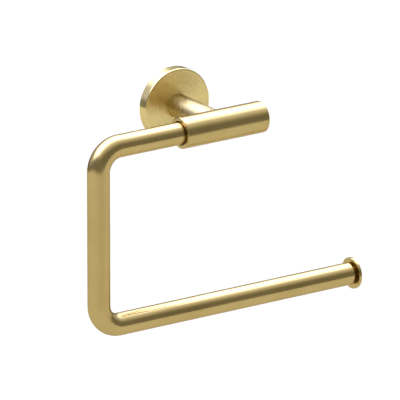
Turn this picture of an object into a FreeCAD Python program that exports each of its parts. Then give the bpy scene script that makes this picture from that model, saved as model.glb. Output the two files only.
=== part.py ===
"""Wall-mounted toilet paper holder with a swinging arm, as a parametric document.

Frame: the origin is the centre of the round wall flange, on the wall plane. +Y runs into the wall,
so the holder stands out towards -Y. +X is the side that the arm's free end points to, +Z is up.
The barrel lies along X at the end of the post, and the arm hangs from it and swings about its axis.
"""

import FreeCAD, Part
import math
import os

import Sketcher

Vector = FreeCAD.Vector
TOUCH = 1e-4

# Driving dimensions, in millimetres and degrees.
SIZES = {
    # wall flange: a cup that covers a flat mounting plate
    "flange_diameter": 50.0,
    "flange_depth": 7.5,
    "flange_wall": 2.2,
    "flange_web": 2.5,
    "flange_round": 0.8,
    "plate_thickness": 4.0,
    "plate_gap": 0.3,
    "plate_bore": 17.0,
    "wall_screw_hole": 5.5,
    "wall_screw_sink": 10.0,
    # post: a tube from the flange to the barrel, pulled tight by one long bolt
    "wall_reach": 57.0,
    "post_diameter": 16.0,
    "post_wall": 2.0,
    "post_seat": 0.8,
    "post_plug_length": 8.0,
    "pin_diameter": 1.6,
    "pin_length": 6.0,
    "pin_orbit": 9.2,
    "pin_end_gap": 0.2,
    "bolt_diameter": 6.0,
    "bolt_head": 10.0,
    "bolt_head_depth": 3.0,
    "bolt_hole": 6.6,
    "bolt_past_axis": 2.0,
    "bolt_socket": 4.0,
    "bolt_socket_depth": 1.8,
    "tapping_past": 0.5,
    "spring_washer": 1.0,
    # barrel: the tube that the arm turns in
    "barrel_diameter": 21.0,
    "barrel_wall": 2.0,
    "barrel_round": 0.9,
    "mouth_recess": 2.0,
    "mouth_lip": 0.6,
    "mouth_chamfer": 0.3,
    "bush_length": 6.5,
    "screw_bay": 7.0,
    "tail_room": 3.5,
    "block_length": 13.0,
    "cap_head": 3.0,
    "cap_round": 1.0,
    "cap_spigot": 6.0,
    "cap_spigot_wall": 3.0,
    "o_ring_thickness": 1.2,
    "o_ring_setback": 1.5,
    "thrust_washer": 1.0,
    # journal: the turned pin on the end of the arm
    "journal_diameter": 12.0,
    "journal_tail": 1.2,
    "plug_length": 10.0,
    "collar_length": 1.8,
    "collar_round": 0.45,
    "mouth_gap": 0.2,
    "clip_thickness": 0.8,
    "clip_depth": 1.0,
    "clip_lip": 1.2,
    "clip_sweep": 290.0,
    # swing stop: a dog-point screw in a groove that runs part way round the journal
    "swing_out": 95.0,
    "swing_in": 15.0,
    "swing_margin": 16.5,
    "stop_depth": 1.2,
    "stop_side_gap": 0.2,
    "stop_tip_gap": 0.3,
    "dog_diameter": 2.6,
    "dog_length": 1.5,
    "grub_diameter": 4.0,
    "grub_socket": 2.0,
    "grub_socket_depth": 1.6,
    "grub_sink": 0.4,
    "grub_height": 2.6,
    "grub_point": 1.2,
    # arm: one tube bent twice, with a disc on its free end
    "arm_diameter": 15.0,
    "arm_wall": 1.5,
    "arm_side": 95.0,
    "arm_free": 102.0,
    "arm_drop": 121.0,
    "bend_radius": 15.5,
    "tube_chamfer": 0.3,
    "disc_diameter": 21.0,
    "disc_thickness": 2.0,
    "disc_round": 0.35,
    "neck_diameter": 10.0,
    "neck_gap": 1.7,
    "stud_diameter": 5.0,
    "stud_length": 7.0,
    "end_plug_length": 12.0,
    # clearances
    "slip_gap": 0.03,
    "thread_gap": 0.03,
    "running_gap": 0.05,
    "end_play": 0.05,
    # how far a cutting tool runs past the face that it starts from
    "overshoot": 1.0,
}

doc = FreeCAD.newDocument("paper_holder")
sheet = doc.addObject("Spreadsheet::Sheet", "sizes")
for row, (alias, size) in enumerate(SIZES.items(), 1):
    sheet.set(f"A{row}", alias)
    sheet.set(f"B{row}", str(size))
    sheet.setAlias(f"B{row}", alias)
doc.recompute()

# Distances that several pieces share, written once as expressions on the sheet.
FLANGE_R = "sizes.flange_diameter / 2"
CAVITY_R = "(sizes.flange_diameter / 2 - sizes.flange_wall)"
PLATE_R = "(sizes.flange_diameter / 2 - sizes.flange_wall - sizes.plate_gap)"
SCREW_ORBIT = f"(sizes.plate_bore / 2 + {PLATE_R}) / 2"
WEB_BACK = "(sizes.flange_depth - sizes.flange_web)"
POST_R = "sizes.post_diameter / 2"
POST_BORE = "(sizes.post_diameter / 2 - sizes.post_wall)"
POST_START = "(sizes.flange_depth - sizes.post_seat)"
BARREL_R = "sizes.barrel_diameter / 2"
BARREL_BORE = "(sizes.barrel_diameter / 2 - sizes.barrel_wall)"
HALF_BLOCK = "sizes.block_length / 2"
BARREL_HALF = (
    "(sizes.mouth_recess + 2 * sizes.bush_length + sizes.screw_bay"
    " + sizes.tail_room + sizes.block_length / 2)"
)
STOP_X = f"(sizes.mouth_recess + sizes.bush_length + sizes.screw_bay / 2 - {BARREL_HALF})"
JOURNAL_R = "sizes.journal_diameter / 2"
CLIP_X = "(sizes.end_play - sizes.tail_room - sizes.block_length / 2)"
STOP_FLOOR = f"({JOURNAL_R} - sizes.stop_depth)"
ARM_R = "sizes.arm_diameter / 2"
ARM_BORE = "(sizes.arm_diameter / 2 - sizes.arm_wall)"
HUB_R = f"({JOURNAL_R} + {ARM_R}) / 2"
COLLAR_END = f"(-{BARREL_HALF} - sizes.mouth_gap)"
TUBE_START = f"({COLLAR_END} - sizes.collar_length)"

# Turns that carry a piece's own X axis to another axis.
OUTWARDS = FreeCAD.Rotation(Vector(0, 0, 1), -90)  # X to -Y, away from the wall
UPWARDS = FreeCAD.Rotation(Vector(0, 1, 0), -90)  # X to +Z
# Turns that carry a primitive's own Z axis to another axis.
ALONG_X = FreeCAD.Rotation(Vector(0, 1, 0), 90)
ALONG_Y = FreeCAD.Rotation(Vector(1, 0, 0), -90)
ALONG_Z = FreeCAD.Rotation()

nodes = []


def number(alias):
    """The value of one cell, as a plain number."""
    return float(sheet.get(alias))


def place(piece, turn=ALONG_Z, x="0", y="0", z="0"):
    """Turns a piece and binds its place to expressions."""
    piece.Placement = FreeCAD.Placement(Vector(), turn)
    for axis, rule in zip("xyz", (x, y, z)):
        piece.setExpression(f"Placement.Base.{axis}", rule)
    return piece


def node(piece, label):
    """Names a finished piece and lists it for export."""
    piece.Label = label
    nodes.append(piece)
    return piece


def plane_of(body, role):
    """One of a body's own origin planes."""
    return next(f for f in body.Origin.OriginFeatures if f.Role == role)


def new_sketch(body, name, role):
    """A sketch on one of the body's origin planes."""
    sketch = body.newObject("Sketcher::SketchObject", name)
    sketch.AttachmentSupport = [(plane_of(body, role), "")]
    sketch.MapMode = "FlatFace"
    return sketch


def pin_point(sketch, geometry, point, x, y):
    """Holds a sketch point at the distances x and y from the sketch's origin."""
    for kind, rule in (("DistanceX", x), ("DistanceY", y)):
        first_guess = 0.0 if rule == "0" else 1.0
        rule_index = sketch.addConstraint(
            Sketcher.Constraint(kind, -1, 1, geometry, point, first_guess)
        )
        if rule != "0":
            sketch.setExpression(f"Constraints[{rule_index}]", rule)


def closed_outline(sketch, corners):
    """A closed polygon whose corners are (x, y) pairs of expressions, none of them negative."""
    last = len(corners) - 1
    guesses = [Vector(i + i % 2, i, 0) for i in range(len(corners))]
    for i in range(len(corners)):
        following = 0 if i == last else i + 1
        sketch.addGeometry(Part.LineSegment(guesses[i], guesses[following]), False)
    for i in range(len(corners)):
        following = 0 if i == last else i + 1
        sketch.addConstraint(Sketcher.Constraint("Coincident", i, 2, following, 1))
    for i, (x, y) in enumerate(corners):
        pin_point(sketch, i, 1, x, y)


def turned(name, corners):
    """A body turned about its own X axis from an outline of (along, radius) corners."""
    body = doc.addObject("PartDesign::Body", name)
    sketch = new_sketch(body, f"{name}_outline", "XY_Plane")
    closed_outline(sketch, corners)
    turn = body.newObject("PartDesign::Revolution", f"{name}_turn")
    turn.Profile = sketch
    turn.ReferenceAxis = (sketch, ["H_Axis"])
    turn.Angle = 360
    doc.recompute()
    return body


def stepped(name, steps, bore="0"):
    """A turned body from (length, radius) steps laid end to end along X, with one bore through it."""
    along = "0"
    corners = [("0", bore)]
    for length, radius in steps:
        corners.append((along, radius))
        along = f"{along} + {length}"
        corners.append((along, radius))
    corners.append((along, bore))
    return turned(name, corners)


def ring_edges(shape, along, radius):
    """Names of the circular edges at a distance along the body's X axis and of one radius."""
    found = []
    for index, edge in enumerate(shape.Edges, 1):
        curve = edge.Curve
        if not isinstance(curve, Part.Circle) or abs(curve.Radius - radius) > TOUCH:
            continue
        if abs(curve.Center.x - along) < TOUCH:
            found.append(f"Edge{index}")
    return found


def soften(body, kind, rule, rings):
    """Rounds or chamfers rings, given as (along, radius) pairs, of a body in its own frame."""
    base = body.Tip
    names = [name for along, radius in rings for name in ring_edges(base.Shape, along, radius)]
    if len(names) != len(rings):
        raise RuntimeError(f"{body.Name}: {len(names)} of {len(rings)} edges were found")
    feature = body.newObject(f"PartDesign::{kind}", f"{body.Name}_{kind.lower()}")
    feature.Base = (base, names)
    feature.setExpression("Radius" if kind == "Fillet" else "Size", rule)
    doc.recompute()
    return body


def rod(name, radius, length, turn=ALONG_Z, x="0", y="0", z="0", sweep=None):
    """A cylinder primitive, or a sector of one where a sweep in degrees is given."""
    piece = doc.addObject("Part::Cylinder", name)
    piece.setExpression("Radius", radius)
    piece.setExpression("Height", length)
    if sweep:
        piece.setExpression("Angle", sweep)
    return place(piece, turn, x, y, z)


def hex_bar(name, across, length, turn, x="0", y="0", z="0"):
    """A hexagonal prism, across flats, which cuts a key socket."""
    piece = doc.addObject("Part::Prism", name)
    piece.Polygon = 6
    piece.setExpression("Circumradius", f"{across} / sqrt(3)")
    piece.setExpression("Height", length)
    return place(piece, turn, x, y, z)


def fuse(name, pieces):
    """One solid from several."""
    joined = doc.addObject("Part::MultiFuse", name)
    joined.Shapes = pieces
    return joined


def cut(name, base, tools):
    """The base less every tool, which has to take some material away."""
    result = doc.addObject("Part::Cut", name)
    result.Base = base
    result.Tool = tools[0] if len(tools) == 1 else fuse(f"{name}_tools", tools)
    doc.recompute()
    if result.Shape.Volume > base.Shape.Volume - TOUCH:
        raise RuntimeError(f"{name}: the cut took nothing away")
    return result


def build_mounting_plate():
    """The flat ring that two countersunk screws hold to the wall."""
    blank = stepped("plate_blank", [("sizes.plate_thickness", PLATE_R)], "sizes.plate_bore / 2")
    place(blank, OUTWARDS)
    tools = []
    for side, sign in (("left", "-"), ("right", "")):
        across = f"{sign}{SCREW_ORBIT}"
        tools.append(
            rod(
                f"plate_hole_{side}",
                "sizes.wall_screw_hole / 2",
                "sizes.plate_thickness + 2 * sizes.overshoot",
                ALONG_Y,
                x=across,
                y="-sizes.plate_thickness - sizes.overshoot",
            )
        )
        cone = doc.addObject("Part::Cone", f"plate_sink_{side}")
        cone.setExpression("Radius1", "sizes.wall_screw_sink / 2")
        cone.setExpression("Radius2", "sizes.wall_screw_hole / 2")
        cone.setExpression("Height", "(sizes.wall_screw_sink - sizes.wall_screw_hole) / 2")
        tools.append(place(cone, ALONG_Y, x=across, y="-sizes.plate_thickness"))
    dimple = rod(
        "plate_dimple",
        "sizes.grub_point",
        "sizes.grub_point + sizes.plate_gap",
        z=f"-{CAVITY_R}",
        y="-sizes.grub_height",
    )
    node(cut("plate_cut", blank, [*tools, dimple]), "mounting_plate")


def build_flange_cover():
    """The cup with the round visible face, a seat for the post and the grub screw's hole."""
    blank = turned(
        "cover_blank",
        [
            ("0", CAVITY_R),
            ("0", FLANGE_R),
            ("sizes.flange_depth", FLANGE_R),
            ("sizes.flange_depth", f"{POST_R} + sizes.slip_gap"),
            (POST_START, f"{POST_R} + sizes.slip_gap"),
            (POST_START, "sizes.bolt_hole / 2"),
            (WEB_BACK, "sizes.bolt_hole / 2"),
            (WEB_BACK, CAVITY_R),
        ],
    )
    front_rim = (number("flange_depth"), number("flange_diameter") / 2)
    soften(blank, "Fillet", "sizes.flange_round", [front_rim])
    place(blank, OUTWARDS)
    grub_hole = rod(
        "cover_grub_hole",
        "sizes.grub_diameter / 2 + sizes.thread_gap",
        "sizes.flange_wall + 2 * sizes.overshoot",
        z=f"-{FLANGE_R} - sizes.overshoot",
        y="-sizes.grub_height",
    )
    pin_hole = rod(
        "cover_pin_hole",
        "sizes.pin_diameter / 2 + sizes.slip_gap",
        "sizes.flange_web / 2 + sizes.pin_end_gap + sizes.overshoot",
        ALONG_Y,
        y=f"-{POST_START} - sizes.overshoot",
        z="sizes.pin_orbit / 2",
    )
    node(cut("cover_cut", blank, [grub_hole, pin_hole]), "flange_cover")


def build_flange_set_screw():
    """The grub screw under the flange that holds the cup on the plate."""
    length = f"({FLANGE_R} - sizes.grub_sink - {PLATE_R} + sizes.grub_point - sizes.thread_gap)"
    blank = turned(
        "flange_grub_blank",
        [
            ("0", "0"),
            ("0", "sizes.grub_diameter / 2"),
            (f"{length} - sizes.grub_point - sizes.plate_gap", "sizes.grub_diameter / 2"),
            (f"{length} - sizes.grub_point - sizes.plate_gap", "sizes.grub_point - sizes.slip_gap"),
            (length, "sizes.grub_point / 2"),
            (length, "0"),
        ],
    )
    start = f"-{FLANGE_R} + sizes.grub_sink"
    place(blank, UPWARDS, y="-sizes.grub_height", z=start)
    socket = hex_bar(
        "flange_grub_socket",
        "sizes.grub_socket",
        "sizes.grub_socket_depth + sizes.overshoot",
        ALONG_Z,
        y="-sizes.grub_height",
        z=f"{start} - sizes.overshoot",
    )
    node(cut("flange_grub_cut", blank, [socket]), "flange_set_screw")


def build_post():
    """The post tube, its plug, the locating pin, and the bolt and washer that pull it tight."""
    blank = stepped("post_blank", [(f"sizes.wall_reach - {POST_START}", POST_R)], POST_BORE)
    place(blank, OUTWARDS, y=f"-{POST_START}")
    saddle = rod(
        "post_saddle",
        f"{BARREL_R} + sizes.slip_gap",
        "2 * sizes.post_diameter",
        ALONG_X,
        x="-sizes.post_diameter",
        y="-sizes.wall_reach",
    )
    node(cut("post_cut", blank, [saddle]), "post_tube")

    plug = stepped(
        "plug_blank",
        [("sizes.post_plug_length", f"{POST_BORE} - sizes.slip_gap")],
        "sizes.bolt_hole / 2",
    )
    place(plug, OUTWARDS, y=f"-{POST_START}")
    pin_end = f"(-{POST_START} + sizes.flange_web / 2 - sizes.pin_length)"
    pin_hole = rod(
        "plug_pin_hole",
        "sizes.pin_diameter / 2 + sizes.slip_gap",
        "sizes.pin_length",
        ALONG_Y,
        y=f"{pin_end} - sizes.pin_end_gap",
        z="sizes.pin_orbit / 2",
    )
    node(cut("plug_cut", plug, [pin_hole]), "post_plug")
    pin = rod(
        "pin",
        "sizes.pin_diameter / 2",
        "sizes.pin_length",
        ALONG_Y,
        y=pin_end,
        z="sizes.pin_orbit / 2",
    )
    node(pin, "locating_pin")

    head_front = f"({WEB_BACK} - sizes.spring_washer)"
    head_back = f"({head_front} - sizes.bolt_head_depth)"
    shank = f"sizes.wall_reach + sizes.bolt_past_axis - {head_front}"
    bolt = stepped(
        "bolt_blank",
        [("sizes.bolt_head_depth", "sizes.bolt_head / 2"), (shank, "sizes.bolt_diameter / 2")],
    )
    place(bolt, OUTWARDS, y=f"-{head_back}")
    socket = hex_bar(
        "bolt_key",
        "sizes.bolt_socket",
        "sizes.bolt_socket_depth + sizes.overshoot",
        ALONG_Y,
        y=f"-{head_back} - sizes.bolt_socket_depth",
    )
    node(cut("bolt_cut", bolt, [socket]), "tie_bolt")
    washer = stepped(
        "bolt_washer", [("sizes.spring_washer", "sizes.bolt_head / 2")], "sizes.bolt_hole / 2"
    )
    node(place(washer, OUTWARDS, y=f"-{head_front}"), "tie_bolt_washer")


def build_barrel():
    """The barrel tube with its lipped mouth, bolt hole and stop screw hole, and the block in it."""
    length = f"2 * {BARREL_HALF} - sizes.cap_head"
    lip_end = "(sizes.mouth_recess - sizes.thrust_washer)"
    lip_r = f"{BARREL_BORE} - sizes.mouth_lip"
    blank = turned(
        "barrel_blank",
        [
            ("0", lip_r),
            ("0", BARREL_R),
            (length, BARREL_R),
            (length, BARREL_BORE),
            (lip_end, BARREL_BORE),
            (lip_end, lip_r),
        ],
    )
    outer = number("barrel_diameter") / 2
    inner = outer - number("barrel_wall") - number("mouth_lip")
    soften(blank, "Fillet", "sizes.barrel_round", [(0.0, outer)])
    soften(blank, "Chamfer", "sizes.mouth_chamfer", [(0.0, inner)])
    place(blank, x=f"-{BARREL_HALF}", y="-sizes.wall_reach")
    bolt_hole = rod(
        "barrel_bolt_hole",
        "sizes.bolt_hole / 2",
        BARREL_R,
        ALONG_Y,
        y=f"-sizes.wall_reach + {BARREL_BORE} / 2",
    )
    grub_hole = rod(
        "barrel_grub_hole",
        "sizes.grub_diameter / 2 + sizes.thread_gap",
        BARREL_R,
        x=STOP_X,
        y="-sizes.wall_reach",
        z=f"-{BARREL_R} - {BARREL_BORE} / 2",
    )
    node(cut("barrel_cut", blank, [bolt_hole, grub_hole]), "barrel_tube")

    block = stepped("block_blank", [("sizes.block_length", f"{BARREL_BORE} - sizes.slip_gap")])
    place(block, x=f"-{HALF_BLOCK}", y="-sizes.wall_reach")
    tapping = rod(
        "block_tapping",
        "sizes.bolt_diameter / 2 + sizes.thread_gap",
        f"{BARREL_R} + sizes.bolt_past_axis + sizes.tapping_past",
        ALONG_Y,
        y="-sizes.wall_reach - sizes.bolt_past_axis - sizes.tapping_past",
    )
    node(cut("block_cut", block, [tapping]), "pivot_block")


def build_barrel_cap():
    """The cap that closes the barrel's far end, with the rubber ring that grips the bore."""
    spigot_r = f"{BARREL_BORE} - sizes.slip_gap"
    groove_floor = f"{BARREL_BORE} - sizes.o_ring_thickness - 2 * sizes.slip_gap"
    groove_start = "(sizes.cap_spigot - sizes.o_ring_setback - sizes.o_ring_thickness)"
    groove_end = f"({groove_start} + sizes.o_ring_thickness + 4 * sizes.slip_gap)"
    inside_r = f"{BARREL_BORE} - sizes.cap_spigot_wall"
    cap = turned(
        "end_cap",
        [
            ("0", inside_r),
            ("0", spigot_r),
            (groove_start, spigot_r),
            (groove_start, groove_floor),
            (groove_end, groove_floor),
            (groove_end, spigot_r),
            ("sizes.cap_spigot", spigot_r),
            ("sizes.cap_spigot", BARREL_R),
            ("sizes.cap_spigot + sizes.cap_head", BARREL_R),
            ("sizes.cap_spigot + sizes.cap_head", "0"),
            ("sizes.cap_spigot", "0"),
            ("sizes.cap_spigot", inside_r),
        ],
    )
    face = number("cap_spigot") + number("cap_head")
    soften(cap, "Fillet", "sizes.cap_round", [(face, number("barrel_diameter") / 2)])
    start = f"({BARREL_HALF} - sizes.cap_head - sizes.cap_spigot)"
    node(place(cap, x=start, y="-sizes.wall_reach"), "barrel_end_cap")

    ring = doc.addObject("Part::Torus", "cap_ring")
    ring.setExpression("Radius1", f"{BARREL_BORE} - sizes.slip_gap - sizes.o_ring_thickness / 2")
    ring.setExpression("Radius2", "sizes.o_ring_thickness / 2")
    middle = f"{start} + {groove_start} + sizes.o_ring_thickness / 2 + 2 * sizes.slip_gap"
    node(place(ring, ALONG_X, x=middle, y="-sizes.wall_reach"), "cap_o_ring")


def build_bearings():
    """The two bushes and the thrust washer that the journal runs in."""
    outer_r = f"{BARREL_BORE} - sizes.slip_gap"
    bore = f"{JOURNAL_R} + sizes.running_gap"
    inner_start = f"(-sizes.bush_length - sizes.tail_room - {HALF_BLOCK})"
    starts = {"outer_bush": f"sizes.mouth_recess - {BARREL_HALF}", "inner_bush": inner_start}
    for label, start in starts.items():
        bush = stepped(f"{label}_body", [("sizes.bush_length", outer_r)], bore)
        node(place(bush, x=start, y="-sizes.wall_reach"), label)
    washer = stepped("washer_body", [("sizes.thrust_washer", outer_r)], bore)
    start = f"sizes.mouth_recess - sizes.thrust_washer - {BARREL_HALF}"
    node(place(washer, x=start, y="-sizes.wall_reach"), "thrust_washer")


def build_stop_screw():
    """The dog-point screw under the barrel that limits the arm's swing."""
    tip_r = f"({STOP_FLOOR} + sizes.stop_tip_gap)"
    length = f"({BARREL_R} - sizes.grub_sink - {tip_r})"
    blank = turned(
        "stop_blank",
        [
            ("0", "0"),
            ("0", "sizes.grub_diameter / 2"),
            (f"{length} - sizes.dog_length", "sizes.grub_diameter / 2"),
            (f"{length} - sizes.dog_length", "sizes.dog_diameter / 2"),
            (length, "sizes.dog_diameter / 2"),
            (length, "0"),
        ],
    )
    start = f"-{BARREL_R} + sizes.grub_sink"
    place(blank, UPWARDS, x=STOP_X, y="-sizes.wall_reach", z=start)
    socket = hex_bar(
        "stop_socket",
        "sizes.grub_socket",
        "sizes.grub_socket_depth + sizes.overshoot",
        ALONG_Z,
        x=STOP_X,
        y="-sizes.wall_reach",
        z=f"{start} - sizes.overshoot",
    )
    node(cut("stop_cut", blank, [socket]), "stop_screw")


def build_journal():
    """The turned pin: a plug in the tube, a rounded collar, a hub, the journal and its two grooves."""
    hub_length = "(sizes.mouth_gap + sizes.mouth_recess - sizes.thrust_washer - sizes.end_play)"
    running = f"({CLIP_X} - {COLLAR_END} - {hub_length})"
    blank = stepped(
        "journal_blank",
        [
            ("sizes.plug_length", f"{ARM_BORE} - sizes.slip_gap"),
            ("sizes.collar_length", ARM_R),
            (hub_length, HUB_R),
            (running, JOURNAL_R),
            ("sizes.clip_thickness", f"{JOURNAL_R} - sizes.clip_depth"),
            ("sizes.journal_tail", JOURNAL_R),
        ],
    )
    collar_face = number("plug_length") + number("collar_length")
    rounding = f"min(sizes.collar_round; 0.8 * ({ARM_R} - {HUB_R}))"
    soften(blank, "Fillet", rounding, [(collar_face, number("arm_diameter") / 2)])
    place(blank, x=f"{TUBE_START} - sizes.plug_length", y="-sizes.wall_reach")

    width = "(sizes.dog_diameter + 2 * sizes.stop_side_gap)"
    sweep = "sizes.swing_out + sizes.swing_in + 2 * sizes.swing_margin"
    sector = rod("groove_sector", f"{JOURNAL_R} + sizes.overshoot", width, sweep=sweep)
    core = rod("groove_core", STOP_FLOOR, width)
    groove = cut("groove_ring", sector, [core])
    # lying along X, the sector opens from straight down towards the wall, so it is first turned back
    # to where the dog sits when the arm has swung in
    turned_back = FreeCAD.Rotation(Vector(1, 0, 0), -number("swing_in") - number("swing_margin"))
    turn = turned_back.multiply(ALONG_X)
    place(groove, turn, x=f"{STOP_X} - {width} / 2", y="-sizes.wall_reach")
    node(cut("journal_cut", blank, [groove]), "pivot_journal")

    thickness = "sizes.clip_thickness"
    ring = rod("clip_ring", f"{JOURNAL_R} + sizes.clip_lip", thickness, sweep="sizes.clip_sweep")
    hole = rod("clip_hole", f"{JOURNAL_R} - sizes.clip_depth + sizes.slip_gap", thickness)
    clip = cut("clip_cut", ring, [hole])
    node(place(clip, ALONG_X, x=CLIP_X, y="-sizes.wall_reach"), "retaining_clip")


def build_arm_tube():
    """The tube: out of the barrel, round a bend, down, round a second bend and along below."""
    body = doc.addObject("PartDesign::Body", "arm_body")
    start = f"(sizes.arm_side + {TUBE_START})"
    side, free, drop = number("arm_side"), number("arm_free"), number("arm_drop")
    radius = number("bend_radius")
    path = new_sketch(body, "arm_path", "XZ_Plane")
    upper = path.addGeometry(Part.LineSegment(Vector(side, drop, 0), Vector(radius, drop, 0)), False)
    quarter = math.pi / 2
    top_circle = Part.Circle(Vector(radius, drop - radius, 0), Vector(0, 0, 1), radius)
    low_circle = Part.Circle(Vector(radius, radius, 0), Vector(0, 0, 1), radius)
    top_bend = path.addGeometry(Part.ArcOfCircle(top_circle, quarter, 2 * quarter), False)
    down = path.addGeometry(Part.LineSegment(Vector(0, drop - radius, 0), Vector(0, radius, 0)), False)
    low_bend = path.addGeometry(Part.ArcOfCircle(low_circle, 2 * quarter, 3 * quarter), False)
    lower = path.addGeometry(Part.LineSegment(Vector(radius, 0, 0), Vector(side + free, 0, 0)), False)
    for first, second in ((upper, top_bend), (top_bend, down), (down, low_bend), (low_bend, lower)):
        path.addConstraint(Sketcher.Constraint("Tangent", first, 2, second, 1))
    for line, kind in ((upper, "Horizontal"), (down, "Vertical"), (lower, "Horizontal")):
        path.addConstraint(Sketcher.Constraint(kind, line))
    path.addConstraint(Sketcher.Constraint("Equal", top_bend, low_bend))
    bend = path.addConstraint(Sketcher.Constraint("Radius", top_bend, radius))
    path.setExpression(f"Constraints[{bend}]", "sizes.bend_radius")
    pin_point(path, upper, 1, start, "sizes.arm_drop")
    pin_point(path, lower, 2, "sizes.arm_side + sizes.arm_free", "0")
    path.addConstraint(Sketcher.Constraint("PointOnObject", down, 1, -2))

    section = new_sketch(body, "arm_section", "YZ_Plane")
    section.setExpression("AttachmentOffset.Base.z", start)
    for rule in (ARM_R, ARM_BORE):
        ring = section.addGeometry(Part.Circle(Vector(0, drop, 0), Vector(0, 0, 1), radius), False)
        pin_point(section, ring, 3, "0", "sizes.arm_drop")
        size = section.addConstraint(Sketcher.Constraint("Radius", ring, radius))
        section.setExpression(f"Constraints[{size}]", rule)
    doc.recompute()
    pipe = body.newObject("PartDesign::AdditivePipe", "arm_pipe")
    pipe.Profile = section
    pipe.Spine = path
    doc.recompute()
    outer = number("arm_diameter") / 2
    soften(body, "Chamfer", "sizes.tube_chamfer", [(side + free, outer)])
    place(body, x="-sizes.arm_side", y="-sizes.wall_reach", z="-sizes.arm_drop")
    node(body, "arm_tube")


def build_arm_end():
    """The plug in the tube's free end and the disc that screws into it and keeps the roll on."""
    plug = stepped(
        "end_plug_body",
        [("sizes.end_plug_length", f"{ARM_BORE} - sizes.slip_gap")],
        "sizes.stud_diameter / 2 + sizes.thread_gap",
    )
    place(plug, x="sizes.arm_free - sizes.end_plug_length", y="-sizes.wall_reach", z="-sizes.arm_drop")
    node(plug, "end_plug")
    disc = stepped(
        "end_disc_body",
        [
            ("sizes.stud_length", "sizes.stud_diameter / 2"),
            ("sizes.neck_gap", "sizes.neck_diameter / 2"),
            ("sizes.disc_thickness", "sizes.disc_diameter / 2"),
        ],
    )
    near = number("stud_length") + number("neck_gap")
    rim = number("disc_diameter") / 2
    soften(disc, "Fillet", "sizes.disc_round", [(near, rim), (near + number("disc_thickness"), rim)])
    place(disc, x="sizes.arm_free - sizes.stud_length", y="-sizes.wall_reach", z="-sizes.arm_drop")
    node(disc, "end_disc")


build_mounting_plate()
build_flange_cover()
build_flange_set_screw()
build_post()
build_barrel()
build_barrel_cap()
build_bearings()
build_stop_screw()
build_journal()
build_arm_tube()
build_arm_end()
doc.recompute()

for item in doc.Objects:
    if {"Invalid", "Error"} & set(item.State):
        raise RuntimeError(f"{item.Label} failed: {item.State}")
for piece in nodes:
    if piece.Shape.isNull() or not piece.Shape.isValid() or len(piece.Shape.Solids) != 1:
        raise RuntimeError(f"{piece.Label} isn't one valid solid")

os.makedirs("parts", exist_ok=True)
for piece in nodes:
    piece.Shape.exportStep(f"parts/{piece.Label}.step")
    box = piece.Shape.BoundBox
    print(
        f"{piece.Label}: {piece.Shape.Volume:.1f} mm3,"
        f" x {box.XMin:.2f} to {box.XMax:.2f},"
        f" y {box.YMin:.2f} to {box.YMax:.2f},"
        f" z {box.ZMin:.2f} to {box.ZMax:.2f}"
    )
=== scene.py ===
"""Looks for a wall-mounted toilet paper holder in brushed brass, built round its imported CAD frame.

The frame gives every place and overall size, in metres: the wall plane is y = 0, the holder stands
out towards -Y, +X is the arm's free end and +Z is up. New pieces are surfaces worked out with numpy:
an outline of (along, radius) points carried round a spine, which is straight or bent.
"""

import logging
import math
from dataclasses import dataclass, field
from enum import Enum
from functools import cache
from typing import Union

import bpy
import numpy as np
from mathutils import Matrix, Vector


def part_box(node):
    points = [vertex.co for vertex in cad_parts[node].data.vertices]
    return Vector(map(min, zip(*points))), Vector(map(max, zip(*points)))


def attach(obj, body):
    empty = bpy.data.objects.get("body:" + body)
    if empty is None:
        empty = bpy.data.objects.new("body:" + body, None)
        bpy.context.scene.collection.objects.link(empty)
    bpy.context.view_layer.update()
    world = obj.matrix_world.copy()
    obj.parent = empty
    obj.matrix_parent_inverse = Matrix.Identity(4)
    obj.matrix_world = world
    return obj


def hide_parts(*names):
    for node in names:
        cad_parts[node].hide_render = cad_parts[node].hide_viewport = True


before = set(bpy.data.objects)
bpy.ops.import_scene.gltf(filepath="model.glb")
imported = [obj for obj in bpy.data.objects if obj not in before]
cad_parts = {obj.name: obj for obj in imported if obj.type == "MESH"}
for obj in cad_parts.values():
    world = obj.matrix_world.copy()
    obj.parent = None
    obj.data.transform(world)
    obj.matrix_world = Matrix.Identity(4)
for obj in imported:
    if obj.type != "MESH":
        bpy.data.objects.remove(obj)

logging.basicConfig(level=logging.INFO, format="%(message)s")
LOG = logging.getLogger("paper_holder")
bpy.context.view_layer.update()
MM = 0.001
STRAIGHTENED = "straightened"
EDGE_TINT = (0.58, 0.50, 0.36, 1.0)
SHARP_ANGLE = math.radians(32)
CORNER_GUARD = 0.12 * MM
SAME_PLACE = 1e-9
SAME_RADIUS = 1e-7
WINDOW_SHARE = 1.5
SKIN_RINGS = 4
BORE_RINGS = 3
FULL_TURN = 2 * math.pi
FASTENERS = (
    "flange_set_screw", "locating_pin", "tie_bolt", "tie_bolt_washer", "stop_screw", "retaining_clip"
)


class Body(Enum):
    """The two bodies that pieces ride on."""

    WALL = "wall_bracket"
    ARM = "arm"


class Slot(Enum):
    """The record's material slots."""

    BRUSHED_BRASS = "brushed_brass"
    TURNED_BRASS = "turned_brass"
    PLATE_STEEL = "plate_steel"
    FASTENER_STEEL = "fastener_steel"
    BUSH_PLASTIC = "bush_plastic"
    RING_RUBBER = "ring_rubber"


class Grain(Enum):
    """Which way the fine lines of a finish run over a turned or bent piece."""

    LENGTHWISE = "lengthwise"
    AROUND = "around"


# ---- surfaces


@dataclass(frozen=True)
class Corner:
    """One corner of an outline.

    Args:
        along: distance along the spine, in metres.
        radius: distance from the spine, in metres.
        rounding: radius of the arc that replaces the corner, or 0 for a sharp one.
    """

    along: float
    radius: float
    rounding: float = 0.0


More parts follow.
